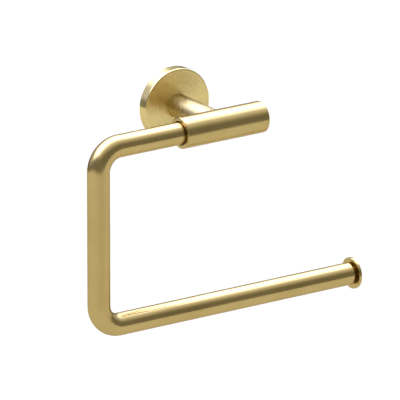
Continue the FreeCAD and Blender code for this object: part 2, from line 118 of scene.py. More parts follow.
@dataclass(frozen=True)
class Bore:
    """A round hole drilled through the wall of a turned piece, square to its axis.

    Args:
        along: distance of the hole's middle along the axis.
        turn: the hole's direction round the axis, in radians from the first section direction.
        radius: the hole's radius.
        inner: radius of the bore that the hole breaks into.
        window: half the length of the patch of wall round the hole.
    """

    along: float
    turn: float
    radius: float
    inner: float
    window: float

    @property
    def window_turn(self) -> float:
        """Half the angle of the patch of wall round the hole."""
        return WINDOW_SHARE * math.asin(self.radius / self.inner)


@dataclass(frozen=True)
class StraightSpine:
    """A straight axis.

    Args:
        origin: where the distance along is 0.
        heading: unit vector along the axis.
        up: unit vector square to the heading, where the turn about the axis starts.
    """

    origin: tuple
    heading: tuple
    up: tuple = (0.0, 0.0, 1.0)

    def stations(self, along: np.ndarray) -> tuple:
        """Centres and the two directions of the section at each distance.

        Args:
            along: distances, of any shape.

        Returns:
            Centre, first and second section direction, each of the shape of along plus 3.
        """
        heading = np.array(self.heading)
        first = np.array(self.up)
        centre = np.array(self.origin) + along[..., None] * heading
        second = np.cross(heading, first)
        return centre, np.broadcast_to(first, centre.shape), np.broadcast_to(second, centre.shape)


@dataclass(frozen=True)
class BentSpine:
    """The arm's axis, in a plane of constant y: towards -X, a bend, down, a bend, towards +X.

    Args:
        start: the axis' first point.
        side: x of the axis' upright run.
        low: z of the axis' lower run.
        bend: radius of both bends.
    """

    start: tuple
    side: float
    low: float
    bend: float

    @property
    def first_bend(self) -> float:
        """Distance along the axis at which the first bend starts."""
        return self.start[0] - self.side - self.bend

    @property
    def quarter(self) -> float:
        """Length of the axis in one bend."""
        return self.bend * math.pi / 2

    @property
    def upright(self) -> float:
        """Length of the straight run between the bends."""
        return self.start[2] - self.low - 2 * self.bend

    def length_to(self, free_end: float) -> float:
        """Length of the whole axis when its lower run ends at x = free_end."""
        lower = free_end - self.side - self.bend
        return self.first_bend + 2 * self.quarter + self.upright + lower

    def stations(self, along: np.ndarray) -> tuple:
        """Centres and section directions at each distance along the bent axis.

        The heading turns from -X by a quarter in each bend. The centre adds up the straight runs and
        the two arcs: an arc turned by an angle moves it by the radius times the sine of the angle
        along the old heading and by the radius times one less the cosine along the new one.

        Args:
            along: distances, of any shape.

        Returns:
            Centre, first and second section direction, each of the shape of along plus 3.
        """
        second_bend = self.first_bend + self.quarter + self.upright
        turn_a = np.clip(along - self.first_bend, 0, self.quarter) / self.bend
        turn_b = np.clip(along - second_bend, 0, self.quarter) / self.bend
        upper = np.minimum(along, self.first_bend)
        down = np.clip(along - self.first_bend - self.quarter, 0, self.upright)
        lower = np.maximum(along - second_bend - self.quarter, 0)
        x = self.start[0] - upper - self.bend * np.sin(turn_a) + self.bend * (1 - np.cos(turn_b)) + lower
        z = self.start[2] - self.bend * (1 - np.cos(turn_a)) - down - self.bend * np.sin(turn_b)
        centre = np.stack([x, np.full_like(x, self.start[1]), z], axis=-1)
        heading = math.pi + turn_a + turn_b
        zero = np.zeros_like(heading)
        first = np.stack([-np.sin(heading), zero, np.cos(heading)], axis=-1)
        second = np.stack([zero, zero - 1, zero], axis=-1)
        return centre, first, second


def turns_round(around: int) -> np.ndarray:
    """Evenly spaced angles round an axis, in radians."""
    return np.arange(around) * FULL_TURN / around


def half_turned(turn: np.ndarray) -> np.ndarray:
    """Angles brought to between minus and plus half a turn."""
    return (turn + math.pi) % FULL_TURN - math.pi


def arc_at(
    before: np.ndarray, corner: np.ndarray, after: np.ndarray, rounding: float, steps: int
) -> np.ndarray:
    """Points of the arc that rounds one corner, tangent to both of its sides.

    Args:
        before: the neighbouring corner that comes first.
        corner: the corner itself.
        after: the neighbouring corner that comes next.
        rounding: the arc's radius.
        steps: how many pieces the arc has.

    Returns:
        An array of steps + 1 points.
    """
    back = (before - corner) / np.linalg.norm(before - corner)
    ahead = (after - corner) / np.linalg.norm(after - corner)
    half = math.acos(float(np.clip(back @ ahead, -1, 1))) / 2
    middle = (back + ahead) / np.linalg.norm(back + ahead)
    centre = corner + middle * rounding / math.sin(half)
    start = corner + back * rounding / math.tan(half) - centre
    end = corner + ahead * rounding / math.tan(half) - centre
    swept = math.pi - 2 * half
    share = np.linspace(0, 1, steps + 1)[:, None]
    return centre + (np.sin((1 - share) * swept) * start + np.sin(share * swept) * end) / math.sin(swept)


def outline(corners: list, closed: bool, step: float = 2 * MM, arc_steps: int = 6) -> np.ndarray:
    """A profile with rounded corners, and with rings near each corner that keep flat faces flat.

    Args:
        corners: Corner values in order, with the material on the right of the way round.
        closed: whether the last corner joins the first.
        step: the longest piece of a straight side.
        arc_steps: pieces in each rounded corner.

    Returns:
        An array of (along, radius) rows.
    """
    places = [np.array([c.along, c.radius]) for c in corners]
    count = len(corners)
    runs = []
    for i, corner in enumerate(corners):
        inner = closed or 0 < i < count - 1
        if corner.rounding and inner:
            runs.append(arc_at(places[i - 1], places[i], places[(i + 1) % count], corner.rounding, arc_steps))
        else:
            runs.append(places[i][None])
    rows = []
    for i, run in enumerate(runs):
        rows.append(run)
        if i == count - 1 and not closed:
            break
        start, end = run[-1], runs[(i + 1) % count][0]
        length = float(np.linalg.norm(end - start))
        if length < 4 * CORNER_GUARD:
            continue
        count_inside = max(2, int(math.ceil(length / step)) + 1)
        inside = np.linspace(CORNER_GUARD, length - CORNER_GUARD, count_inside)
        rows.append(start + (end - start) * inside[:, None] / length)
    return np.concatenate(rows)


def ring_faces(index: np.ndarray, closed: bool) -> list:
    """Faces between neighbouring rings, as quads, or as triangles where a ring is one point.

    Args:
        index: vertex numbers, one row per ring, one column per step round it.
        closed: whether the last ring joins the first.

    Returns:
        A list of vertex number lists.
    """
    nearer = index if closed else index[:-1]
    farther = np.roll(index, -1, axis=0) if closed else index[1:]
    corners = [nearer, np.roll(nearer, -1, axis=1), np.roll(farther, -1, axis=1), farther]
    quads = np.stack(corners, axis=-1).reshape(-1, 4)
    start_point = quads[:, 0] == quads[:, 1]
    end_point = quads[:, 2] == quads[:, 3]
    whole = quads[~start_point & ~end_point]
    return [*whole.tolist(), *quads[start_point][:, [0, 2, 3]].tolist(), *quads[end_point][:, :3].tolist()]


def carried(spine: Union[StraightSpine, BentSpine], rows: np.ndarray, around: int) -> tuple:
    """Points of an outline carried round a spine.

    The point at a turn is the spine's centre plus the radius times the cosine of the turn along the
    first section direction and the sine along the second.

    Args:
        spine: the axis.
        rows: (along, radius) rows.
        around: steps round the axis.

    Returns:
        Points, and the same points with the spine straightened to X, both (rings, around, 3).
    """
    turn = turns_round(around)
    along, radius = rows[:, :1], rows[:, 1:]
    centre, first, second = spine.stations(along)
    across = (radius * np.cos(turn))[..., None]
    aside = (radius * np.sin(turn))[..., None]
    points = centre + across * first + aside * second
    lengthwise = np.broadcast_to(along, across.shape[:2])[..., None]
    return points, np.concatenate([lengthwise, across, aside], axis=-1)


def window_border(index: np.ndarray, rows: np.ndarray, columns: np.ndarray) -> np.ndarray:
    """Vertex numbers round a rectangular window of a grid, each once.

    Args:
        index: the grid's vertex numbers.
        rows: the window's rows in order.
        columns: the window's columns in order.

    Returns:
        Numbers along the first row, the last column, the last row back and the first column back.
    """
    window = index[np.ix_(rows, columns)]
    return np.concatenate([window[0, :-1], window[:-1, -1], window[-1, :0:-1], window[:0:-1, 0]])


def bore_rings(bore: Bore, straight: np.ndarray, border: np.ndarray, rings: int) -> np.ndarray:
    """Rings between a window's border and the round hole in it, on the surface of one radius.

    A border point's direction from the hole's middle, with the window scaled to a square, gives its
    point on the hole. The rings lie between the two, in distance along and turn round.

    Args:
        bore: the hole.
        straight: straightened places of all vertices.
        border: vertex numbers of the border.
        rings: how many rings, the last of them on the hole's edge.

    Returns:
        Straightened places, (rings, border, 3).
    """
    edge = straight[border]
    surface = float(np.hypot(edge[:, 1], edge[:, 2]).mean())
    along = edge[:, 0] - bore.along
    turn = half_turned(np.arctan2(edge[:, 2], edge[:, 1]) - bore.turn)
    towards = np.arctan2(turn / np.abs(turn).max(), along / np.abs(along).max())
    hole_along = bore.radius * np.cos(towards)
    hole_turn = np.arcsin(bore.radius * np.sin(towards) / surface)
    share = (np.arange(1, rings + 1) / rings)[:, None]
    ring_along = bore.along + along + share * (hole_along - along)
    ring_turn = bore.turn + turn + share * (hole_turn - turn)
    return np.stack([ring_along, surface * np.cos(ring_turn), surface * np.sin(ring_turn)], axis=-1)


def drilled(spine: StraightSpine, straight: np.ndarray, bores: list) -> tuple:
    """Cuts round holes through the wall of a closed turned piece.

    In the skin and in the bore, the faces of a window give way to rings that lead to the hole's edge,
    and the hole's own wall joins the two edges.

    Args:
        spine: the piece's axis.
        straight: straightened places, (rings, around, 3).
        bores: Bore values.

    Returns:
        Points, straightened places and faces of the drilled piece.
    """
    rings, around = straight.shape[:2]
    index = np.arange(rings * around).reshape(rings, around)
    places = straight.reshape(-1, 3)
    radii = np.hypot(straight[:, 0, 1], straight[:, 0, 2])
    turns = turns_round(around)
    kept = np.ones((rings, around), dtype=bool)
    extra_faces = []
    for bore in bores:
        away = half_turned(turns - bore.turn)
        columns = np.flatnonzero(np.abs(away) < bore.window_turn)
        columns = columns[np.argsort(away[columns])]
        borders = []
        for surface in (radii.max(), bore.inner):
            near = np.abs(straight[:, 0, 0] - bore.along) < bore.window + SAME_PLACE
            rows = np.flatnonzero(near & (np.abs(radii - surface) < SAME_RADIUS))
            rows = rows[np.argsort(straight[rows, 0, 0])]
            first = min(rows[0], rows[-1])
            kept[np.ix_(np.arange(first, first + len(rows) - 1), columns[:-1])] = False
            borders.append(window_border(index, rows, columns))
        outer = bore_rings(bore, places, borders[0], SKIN_RINGS)
        inner = bore_rings(bore, places, borders[1], BORE_RINGS)[::-1]
        new = np.concatenate([outer, inner])
        numbers = len(places) + np.arange(new.shape[0] * new.shape[1]).reshape(new.shape[:2])
        places = np.concatenate([places, new.reshape(-1, 3)])
        extra_faces += ring_faces(np.concatenate([borders[:1], numbers, borders[1:]]), False)
    farther = np.roll(index, -1, axis=0)
    quads = np.stack([index, np.roll(index, -1, axis=1), np.roll(farther, -1, axis=1), farther], axis=-1)
    faces = np.concatenate([quads[kept], np.array(extra_faces)])
    used, renumbered = np.unique(faces, return_inverse=True)
    places = places[used]
    centre, first_way, second_way = spine.stations(places[:, 0])
    points = centre + places[:, 1:2] * first_way + places[:, 2:] * second_way
    return points, places, renumbered.reshape(-1, 4).tolist()


def ring_mesh(name: str, points: np.ndarray, straight: np.ndarray, closed: bool) -> bpy.types.Object:
    """A mesh object from rings of points, where a ring of no size becomes one pole.

    Args:
        name: the piece's name.
        points: (rings, around, 3) places.
        straight: the same places with the spine straightened, which the finishes read.
        closed: whether the last ring joins the first.

    Returns:
        The new object.
    """
    rings, around = points.shape[:2]
    spread = np.ptp(points, axis=1).max(axis=-1)
    index = np.arange(rings * around).reshape(rings, around)
    poles = spread < SAME_PLACE
    index[poles] = index[poles][:, :1]
    used, renumbered = np.unique(index, return_inverse=True)
    faces = ring_faces(renumbered.reshape(rings, around), closed)
    return mesh_object(name, points.reshape(-1, 3)[used], straight.reshape(-1, 3)[used], faces)


def mesh_object(name: str, points: np.ndarray, straight: np.ndarray, faces: list) -> bpy.types.Object:
    """A mesh object from points and faces.

    Args:
        name: the piece's name.
        points: (count, 3) places.
        straight: the same places with the spine straightened, which the finishes read.
        faces: vertex numbers of each face.

    Returns:
        The new object, with smooth faces and sharp edges where the outline is sharp.
    """
    mesh = bpy.data.meshes.new(name)
    mesh.from_pydata(points.tolist(), [], faces)
    layer = mesh.attributes.new(STRAIGHTENED, "FLOAT_VECTOR", "POINT")
    layer.data.foreach_set("vector", straight.astype(np.float32).ravel())
    mesh.shade_smooth()
    mesh.set_sharp_from_angle(angle=SHARP_ANGLE)
    mesh.update()
    piece = bpy.data.objects.new(name, mesh)
    bpy.context.scene.collection.objects.link(piece)
    return piece


# ---- shader maths


Value = Union["Wire", float]


class Wire:
    """One output socket, with Python's operators as Math nodes."""

    def __init__(self, graph: "Graph", socket: bpy.types.NodeSocket) -> None:
        """Keeps the graph that new nodes go into and the socket that they read."""
        self.graph = graph
        self.socket = socket

    def math(self, operation: str, *others: Value) -> "Wire":
        """A Math node whose first value is this socket."""
        values = dict(enumerate((self, *others)))
        return self.graph.add("ShaderNodeMath", {"operation": operation}, values)

    def flipped(self, operation: str, other: Value) -> "Wire":
        """A Math node whose second value is this socket."""
        return self.graph.add("ShaderNodeMath", {"operation": operation}, {0: other, 1: self})

    def __add__(self, other: Value) -> "Wire":
        """This plus another."""
        return self.math("ADD", other)

    def __radd__(self, other: float) -> "Wire":
        """Another plus this."""
        return self.flipped("ADD", other)

    def __sub__(self, other: Value) -> "Wire":
        """This less another."""
        return self.math("SUBTRACT", other)

    def __rsub__(self, other: float) -> "Wire":
        """Another less this."""
        return self.flipped("SUBTRACT", other)

    def __mul__(self, other: Value) -> "Wire":
        """This times another."""
        return self.math("MULTIPLY", other)

    def __rmul__(self, other: float) -> "Wire":
        """Another times this."""
        return self.flipped("MULTIPLY", other)

    def spread(self) -> "Wire":
        """A vector with this in all three places."""
        return self.graph.add("ShaderNodeCombineXYZ", {}, {"X": self, "Y": self, "Z": self})

    def smooth(self, start: float, end: float) -> "Wire":
        """An S-shaped step from 0 at start to 1 at end, either way round."""
        sockets = {"Value": self, "From Min": start, "From Max": end}
        return self.graph.add("ShaderNodeMapRange", {"interpolation_type": "SMOOTHSTEP"}, sockets)


@dataclass(frozen=True)
class Pattern:
    """A noise's measures.

    Args:
        scale: marks per unit of its place.
        detail: how many finer layers it has.
        rough: weight of each finer layer.
    """

    scale: float
    detail: float
    rough: float


class Graph:
    """A node tree that nodes are added to by type."""

    def __init__(self, tree: bpy.types.NodeTree) -> None:
        """Empties the tree."""
        self.tree = tree
        tree.nodes.clear()

    def add(self, kind: str, settings: dict, sockets: dict, output: Union[int, str] = 0) -> Wire:
        """Adds one node.

        Args:
            kind: the node's type.
            settings: its properties, which are set first.
            sockets: values or wires by input name or number.
            output: name or number of the output to return.

        Returns:
            The output as a Wire, or an empty Wire for a node with no output.
        """
        made = self.tree.nodes.new(kind)
        for key, value in settings.items():
            setattr(made, key, value)
        for key, value in sockets.items():
            if isinstance(value, Wire):
                self.tree.links.new(value.socket, made.inputs[key])
            else:
                made.inputs[key].default_value = value
        return Wire(self, made.outputs[output] if len(made.outputs) else None)

    def vector(self, operation: str, *values: Union[Wire, tuple]) -> Wire:
        """A Vector Math node."""
        output = "Value" if operation in ("LENGTH", "DOT_PRODUCT") else "Vector"
        return self.add("ShaderNodeVectorMath", {"operation": operation}, dict(enumerate(values)), output)

    def part(self, vector: Wire, axis: str) -> Wire:
        """One component of a vector, named X, Y or Z."""
        return self.add("ShaderNodeSeparateXYZ", {}, {0: vector}, axis)

    def noise(self, place: Wire, pattern: Pattern) -> Wire:
        """Noise from 0 to 1 at a place."""
        measures = {"Scale": pattern.scale, "Detail": pattern.detail, "Roughness": pattern.rough}
        return self.add("ShaderNodeTexNoise", {}, {"Vector": place, **measures}, "Fac")

    def blend(self, share: Wire, first: tuple, second: tuple) -> Wire:
        """A colour between two, by share."""
        sockets = {0: share, 6: (*first, 1.0), 7: (*second, 1.0)}
        return self.add("ShaderNodeMix", {"data_type": "RGBA", "clamp_factor": True}, sockets, 2)


def new_material(name: str) -> tuple:
    """A material with an empty node tree.

    Args:
        name: the material's name.

    Returns:
        The material and its Graph.
    """
    material = bpy.data.materials.new(name)
    material.use_nodes = True
    return material, Graph(material.node_tree)


def finish_surface(graph: Graph, sockets: dict) -> None:
    """Ends a material with a Principled shader on its surface."""
    shader = graph.add("ShaderNodeBsdfPrincipled", {}, sockets, "BSDF")
    graph.add("ShaderNodeOutputMaterial", {}, {"Surface": shader})


@cache
def made(finish: object) -> bpy.types.Material:
    """The material of a finish, built once."""
    return finish.build()


LINES = Pattern(1.0, 3.0, 0.62)
FINEST_LINES = Pattern(6.0, 1.0, 0.5)
PITS = Pattern(2.2, 2.0, 0.6)
WIDE_CLOUD = Pattern(0.045, 3.0, 0.55)
LATHE_RINGS = Pattern(1.0, 2.0, 0.7)
FACE_CLOUD = Pattern(0.05, 3.0, 0.55)
MARKS = Pattern(1.0, 3.0, 0.6)
SMALL_CLOUD = Pattern(0.18, 3.0, 0.55)
TONE_EDGES = (0.3, 0.7)


def tone_of(fine: Wire, cloud: Wire, share: float) -> Wire:
    """How light a finish is, from 0 to 1: its fine marks by share, and its cloud by the rest."""
    return (fine * share + cloud * (1 - share)).smooth(*TONE_EDGES)


def place_wire(graph: Graph, straightened: bool) -> Wire:
    """The place on a piece in millimetres, straightened along its spine or as it stands."""
    if straightened:
        place = graph.add("ShaderNodeAttribute", {"attribute_name": STRAIGHTENED}, {}, "Vector")
    else:
        place = graph.add("ShaderNodeTexCoord", {}, {}, "Object")
    return graph.vector("MULTIPLY", place, (1 / MM,) * 3)


@dataclass(frozen=True)
class BrushedBrass:
    """Satin brass under clear lacquer, with fine parallel grain.

    Args:
        grain: which way the lines run.
        deep: the darker colour in the grain, linear.
        light: the lighter colour, linear.
        roughness: the middle roughness.
        uneven: how far the grain moves the roughness either way.
        lacquer: weight of the clear coat.
        coat_roughness: roughness of the clear coat.
        cloud_uneven: how far the cloud moves the roughness either way.
        line_depth: height of the grain's relief, in metres.
        pit_share: height of the pits, as a share of the grain's.
        straightened: whether the grain follows the piece's own spine, or the X axis.
        spread: the way that the finest lines tilt the surface, as long as their slope.
    """

    grain: Grain
    deep: tuple = (0.415, 0.297, 0.096)
    light: tuple = (0.488, 0.362, 0.131)
    roughness: float = 0.22
    uneven: float = 0.06
    lacquer: float = 0.35
    coat_roughness: float = 0.16
    cloud_uneven: float = 0.06
    line_depth: float = 1.4e-6
    pit_share: float = 0.25
    straightened: bool = True
    spread: tuple = (0.0, 0.0, 0.0)

    def stretch(self) -> tuple:
        """Lines per millimetre along the piece's three straightened directions."""
        return {Grain.LENGTHWISE: (0.035, 4.0, 4.0), Grain.AROUND: (5.0, 0.12, 0.12)}[self.grain]

    def build(self) -> bpy.types.Material:
        """Makes the material: colour, roughness and relief follow one grain noise and one cloud."""
        path = "spine" if self.straightened else "axis"
        family = "spread" if any(self.spread) else "satin"
        material, graph = new_material(f"{family}_brass_{self.grain.value}_{path}")
        place = place_wire(graph, self.straightened)
        grain = graph.noise(graph.vector("MULTIPLY", place, self.stretch()), LINES)
        cloud = graph.noise(place, WIDE_CLOUD)
        height = grain + self.pit_share * graph.noise(place, PITS)
        tone = tone_of(grain, cloud, share=0.55)
        roughness = self.roughness + self.uneven * (grain - 0.5) + self.cloud_uneven * (cloud - 0.5)
        relief = {"Strength": 1.0, "Distance": self.line_depth, "Height": height}
        sockets = {
            "Base Color": graph.blend(tone, self.deep, self.light),
            "Metallic": 1.0,
            "Specular Tint": EDGE_TINT,
            "Roughness": roughness,
            "Coat Weight": self.lacquer,
            "Coat Roughness": self.coat_roughness,
            "Normal": self.normal(graph, place, graph.add("ShaderNodeBump", {}, relief, "Normal")),
        }
        finish_surface(graph, sockets)
        return material

    def normal(self, graph: Graph, place: Wire, relief: Wire) -> Wire:
        """The relief's normal, tilted by the finest lines where the finish has a spread."""
        if not any(self.spread):
            return relief
        fine = graph.noise(graph.vector("MULTIPLY", place, self.stretch()), FINEST_LINES)
        tilt = graph.vector("MULTIPLY", (fine - 0.5).spread(), self.spread)
        return graph.vector("NORMALIZE", graph.vector("ADD", relief, tilt))


@dataclass(frozen=True)
class FacedBrassPaintedLight:
    """Brass faced on a lathe: rings about the piece's axis, which tilt the surface in and out. Its colours
    hold painted light: they are lighter and paler than the other brass, to stand in for light that the face's
    dark, orange brass-on-brass reflections lack.

    Args:
        deep: the darker colour, linear.
        light: the lighter colour, linear.
        roughness: the face's middle roughness.
        rim_roughness: the rim's middle roughness.
        uneven: how far the rings move the roughness either way.
        cloud_uneven: how far the cloud moves the roughness either way.
        lacquer: weight of the clear coat.
        coat_roughness: roughness of the clear coat.
        tilt: slope of the finest rings, as a tangent.
        rings: rings per millimetre of radius.
        rim_rings: rings per millimetre of depth.
        face_edges: how squarely the surface faces out where the rings' tilt starts and is whole.
    """

    # Painted light: these colours are lighter and paler than the other brass's, to offset the face's dark,
    # orange brass-on-brass reflections.
    deep: tuple = (0.625, 0.485, 0.195)
    light: tuple = (0.715, 0.570, 0.230)
    roughness: float = 0.27
    rim_roughness: float = 0.14
    uneven: float = 0.06
    cloud_uneven: float = 0.04
    lacquer: float = 0.25
    coat_roughness: float = 0.2
    tilt: float = 2.6
    rings: float = 30.0
    rim_rings: float = 5.0
    face_edges: tuple = (0.9, 0.99)

    def build(self) -> bpy.types.Material:
        """Makes the material. The tilt is along the radius, so the shine gathers in two sectors."""
        material, graph = new_material("faced_brass_painted_light")
        place = place_wire(graph, False)
        outwards = graph.vector("MULTIPLY", place, (1.0, 0.0, 1.0))
        radius = graph.vector("LENGTH", outwards) * self.rings
        depth = graph.part(place, "Y") * self.rim_rings
        ring = graph.noise(graph.add("ShaderNodeCombineXYZ", {}, {"X": radius, "Y": depth}), LATHE_RINGS)
        cloud = graph.noise(place, FACE_CLOUD)
        facing = graph.add("ShaderNodeNewGeometry", {}, {}, "Normal")
        on_face = (0.0 - graph.part(facing, "Y")).smooth(*self.face_edges)
        slope = (ring - 0.5) * self.tilt * on_face
        lean = graph.vector("MULTIPLY", graph.vector("NORMALIZE", outwards), slope.spread())
        tone = tone_of(ring, cloud, share=0.4)
        roughness = self.rim_roughness + (self.roughness - self.rim_roughness) * on_face
        sockets = {
            "Base Color": graph.blend(tone, self.deep, self.light),
            "Metallic": 1.0,
            "Specular Tint": EDGE_TINT,
            "Roughness": roughness + self.uneven * (ring - 0.5) + self.cloud_uneven * (cloud - 0.5),
            "Coat Weight": self.lacquer,
            "Coat Roughness": self.coat_roughness,
            "Normal": graph.vector("NORMALIZE", graph.vector("ADD", facing, lean)),
        }
        finish_surface(graph, sockets)
        return material


@dataclass(frozen=True)
class PlainFinish:
    """A turned, stamped or moulded finish with fine marks, for the pieces inside.

    Args:
        name: the material's name.
        deep: the darker colour, linear.
        light: the lighter colour, linear.
        metallic: 1 for metal, 0 for plastic or rubber.
        roughness: the middle roughness.
        uneven: how far the marks move the roughness either way.
        marks: marks per millimetre along X, Y and Z.
        mark_depth: height of the marks' relief, in metres.
    """

    name: str
    deep: tuple
    light: tuple
    metallic: float
    roughness: float
    uneven: float
    marks: tuple
    mark_depth: float

    def build(self) -> bpy.types.Material:
        """Makes the material: fine marks over a slow cloud."""
        material, graph = new_material(self.name)
        place = place_wire(graph, False)
        mark = graph.noise(graph.vector("MULTIPLY", place, self.marks), MARKS)
        cloud = graph.noise(place, SMALL_CLOUD)
        tone = tone_of(mark, cloud, share=0.6)
        relief = {"Strength": 1.0, "Distance": self.mark_depth, "Height": mark}
        sockets = {
            "Base Color": graph.blend(tone, self.deep, self.light),
            "Metallic": self.metallic,
            "Roughness": self.roughness + self.uneven * (mark - 0.5) + self.uneven * (cloud - 0.5),
            "Normal": graph.add("ShaderNodeBump", {}, relief, "Normal"),
        }
        finish_surface(graph, sockets)
        return material


TURNED_BRASS = PlainFinish(
    "lathe_brass", (0.50, 0.36, 0.13), (0.64, 0.49, 0.21), 1.0, 0.3, 0.12, (3.0, 3.0, 3.0), 4e-6
)
PLATE_STEEL = PlainFinish(
    "zinc_plate", (0.42, 0.42, 0.43), (0.60, 0.60, 0.60), 1.0, 0.42, 0.14, (0.5, 2.0, 3.0), 6e-6
)
FASTENER_STEEL = PlainFinish(
    "screw_steel", (0.36, 0.37, 0.38), (0.55, 0.55, 0.56), 1.0, 0.34, 0.14, (2.0, 2.0, 4.0), 6e-6
)
BUSH_PLASTIC = PlainFinish(
    "black_nylon", (0.008, 0.008, 0.009), (0.02, 0.02, 0.022), 0.0, 0.5, 0.12, (4.0, 4.0, 4.0), 4e-6
)
RING_RUBBER = PlainFinish(
    "black_rubber", (0.010, 0.010, 0.010), (0.025, 0.024, 0.023), 0.0, 0.7, 0.1, (5.0, 5.0, 5.0), 8e-6
)


# ---- sub-assemblies


def dress(piece: bpy.types.Object, material: bpy.types.Material, body: Body, slot: Slot, *nodes: str) -> None:
    """Gives a new piece its material and its body, and hides the CAD nodes that it stands for."""
    piece.data.materials.append(material)
    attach(piece, body.value)
    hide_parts(*nodes)
    LOG.info("%s: %d faces, rides on %s", piece.name, len(piece.data.polygons), body.value)


def dress_node(name: str, material: bpy.types.Material) -> None:
    """Gives a CAD node a better material in every one of its slots."""
    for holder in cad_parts[name].material_slots:
        holder.material = material
    LOG.info("%s: CAD node in %s", name, material.name)


def middle(node: str, axis: int) -> float:
    """Middle of a node's box along one axis, 0 to 2."""
    low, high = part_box(node)
    return (low[axis] + high[axis]) / 2


def radius_of(node: str, axis: int) -> float:
    """Half the size of a node's box along one axis."""
    low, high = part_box(node)
    return (high[axis] - low[axis]) / 2


def x_spine(node: str) -> StraightSpine:
    """The axis of a node that is turned about X, from its low end."""
    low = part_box(node)[0]
    return StraightSpine((low[0], middle(node, 1), middle(node, 2)), (1.0, 0.0, 0.0))


def wall_spine(node: str) -> StraightSpine:
    """The axis of a node that is turned about Y, from its wall end outwards."""
    return StraightSpine((0.0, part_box(node)[1][1], 0.0), (0.0, -1.0, 0.0))


@dataclass
class WallFlange:
    """The cup on the wall, with the plate behind it and the grub screw under it."""

    wall: float = 2.2 * MM
    web: float = 2.5 * MM
    back_round: float = 0.15 * MM
    face_round: float = 0.8 * MM
    seat_round: float = 0.1 * MM
    seat_depth: float = 0.8 * MM
    slip: float = 0.03 * MM
    bolt_hole: float = 3.3 * MM
    window: float = 2.35 * MM
    step: float = 0.6 * MM
    around: int = 160

    def cover(self) -> bpy.types.Object:
        """The cup: a closed outline round the wall plane, drilled for the grub screw below."""
        low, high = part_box("flange_cover")
        rim = radius_of("flange_cover", 0)
        depth = high[1] - low[1]
        post = radius_of("post_tube", 0) + self.slip
        cavity = rim - self.wall
        web_back = depth - self.web
        screw_along = high[1] - middle("flange_set_screw", 1)
        near, far = screw_along - self.window, screw_along + self.window
        corners = [
            Corner(0.0, cavity),
            Corner(0.0, rim, self.back_round),
            Corner(near, rim),
            Corner(far, rim),
            Corner(depth, rim, self.face_round),
            Corner(depth, post, self.seat_round),
            Corner(depth - self.seat_depth, post),
            Corner(depth - self.seat_depth, self.bolt_hole),
            Corner(web_back, self.bolt_hole),
            Corner(web_back, cavity),
            Corner(far, cavity),
            Corner(near, cavity),
        ]
        spine = wall_spine("flange_cover")
        straight = carried(spine, outline(corners, True, self.step), self.around)[1]
        screw_hole = radius_of("flange_set_screw", 0) + self.slip
        bore = Bore(screw_along, math.pi, screw_hole, cavity, self.window)
        return mesh_object("wall_flange_cup", *drilled(spine, straight, [bore]))

    def build(self) -> None:
        """Builds the cup and dresses the pieces behind it."""
        dress(self.cover(), made(FacedBrassPaintedLight()), Body.WALL, Slot.BRUSHED_BRASS, "flange_cover")
        dress_node("mounting_plate", made(PLATE_STEEL))


@dataclass
class Post:
    """The short tube from the flange to the barrel, and what pulls it tight."""

    wall: float = 2.0 * MM
    slip: float = 0.03 * MM
    around: int = 128
    rings: int = 36
    # Painted light: deep and light are lighter and paler than the barrel's and the arm's brass, standing in
    # for light missing from the post's dark, orange side next to the flange.
    satin: BrushedBrass = field(
        default_factory=lambda: BrushedBrass(
            Grain.AROUND,
            deep=(0.50, 0.395, 0.180),
            light=(0.58, 0.465, 0.220),
            roughness=0.28,
            spread=(0.0, 1.1, 0.0),
        )
    )

    def tube(self) -> bpy.types.Object:
        """The tube, coped to the barrel.

        Out along the skin and back along the bore, each ring lies at a share of the way from the
        flat end to the cope. The cope is where the ring meets the barrel: the barrel's axis less the
        root of the barrel's radius squared less the height squared.
        """
        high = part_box("post_tube")[1]
        radius = radius_of("post_tube", 0)
        barrel = radius_of("barrel_tube", 2) + self.slip
        reach = high[1] - middle("barrel_tube", 1)
        share = np.linspace(0, 1, self.rings)
        shares = np.concatenate([share, share[::-1]])[:, None]
        radii = np.repeat([radius, radius - self.wall], self.rings)[:, None]
        turn = turns_round(self.around)
        height = radii * np.cos(turn)
        cope = reach - np.sqrt(barrel**2 - height**2)
        straight = np.stack([shares * cope, height, radii * np.sin(turn)], axis=-1)
        centre, first, second = wall_spine("post_tube").stations(straight[..., 0])
        points = centre + straight[..., 1:2] * first + straight[..., 2:] * second
        return ring_mesh("post_coped_tube", points, straight, True)

    def build(self) -> None:
        """Builds the tube and dresses what is inside it."""
        dress(self.tube(), made(self.satin), Body.WALL, Slot.BRUSHED_BRASS, "post_tube")
        dress_node("post_plug", made(TURNED_BRASS))


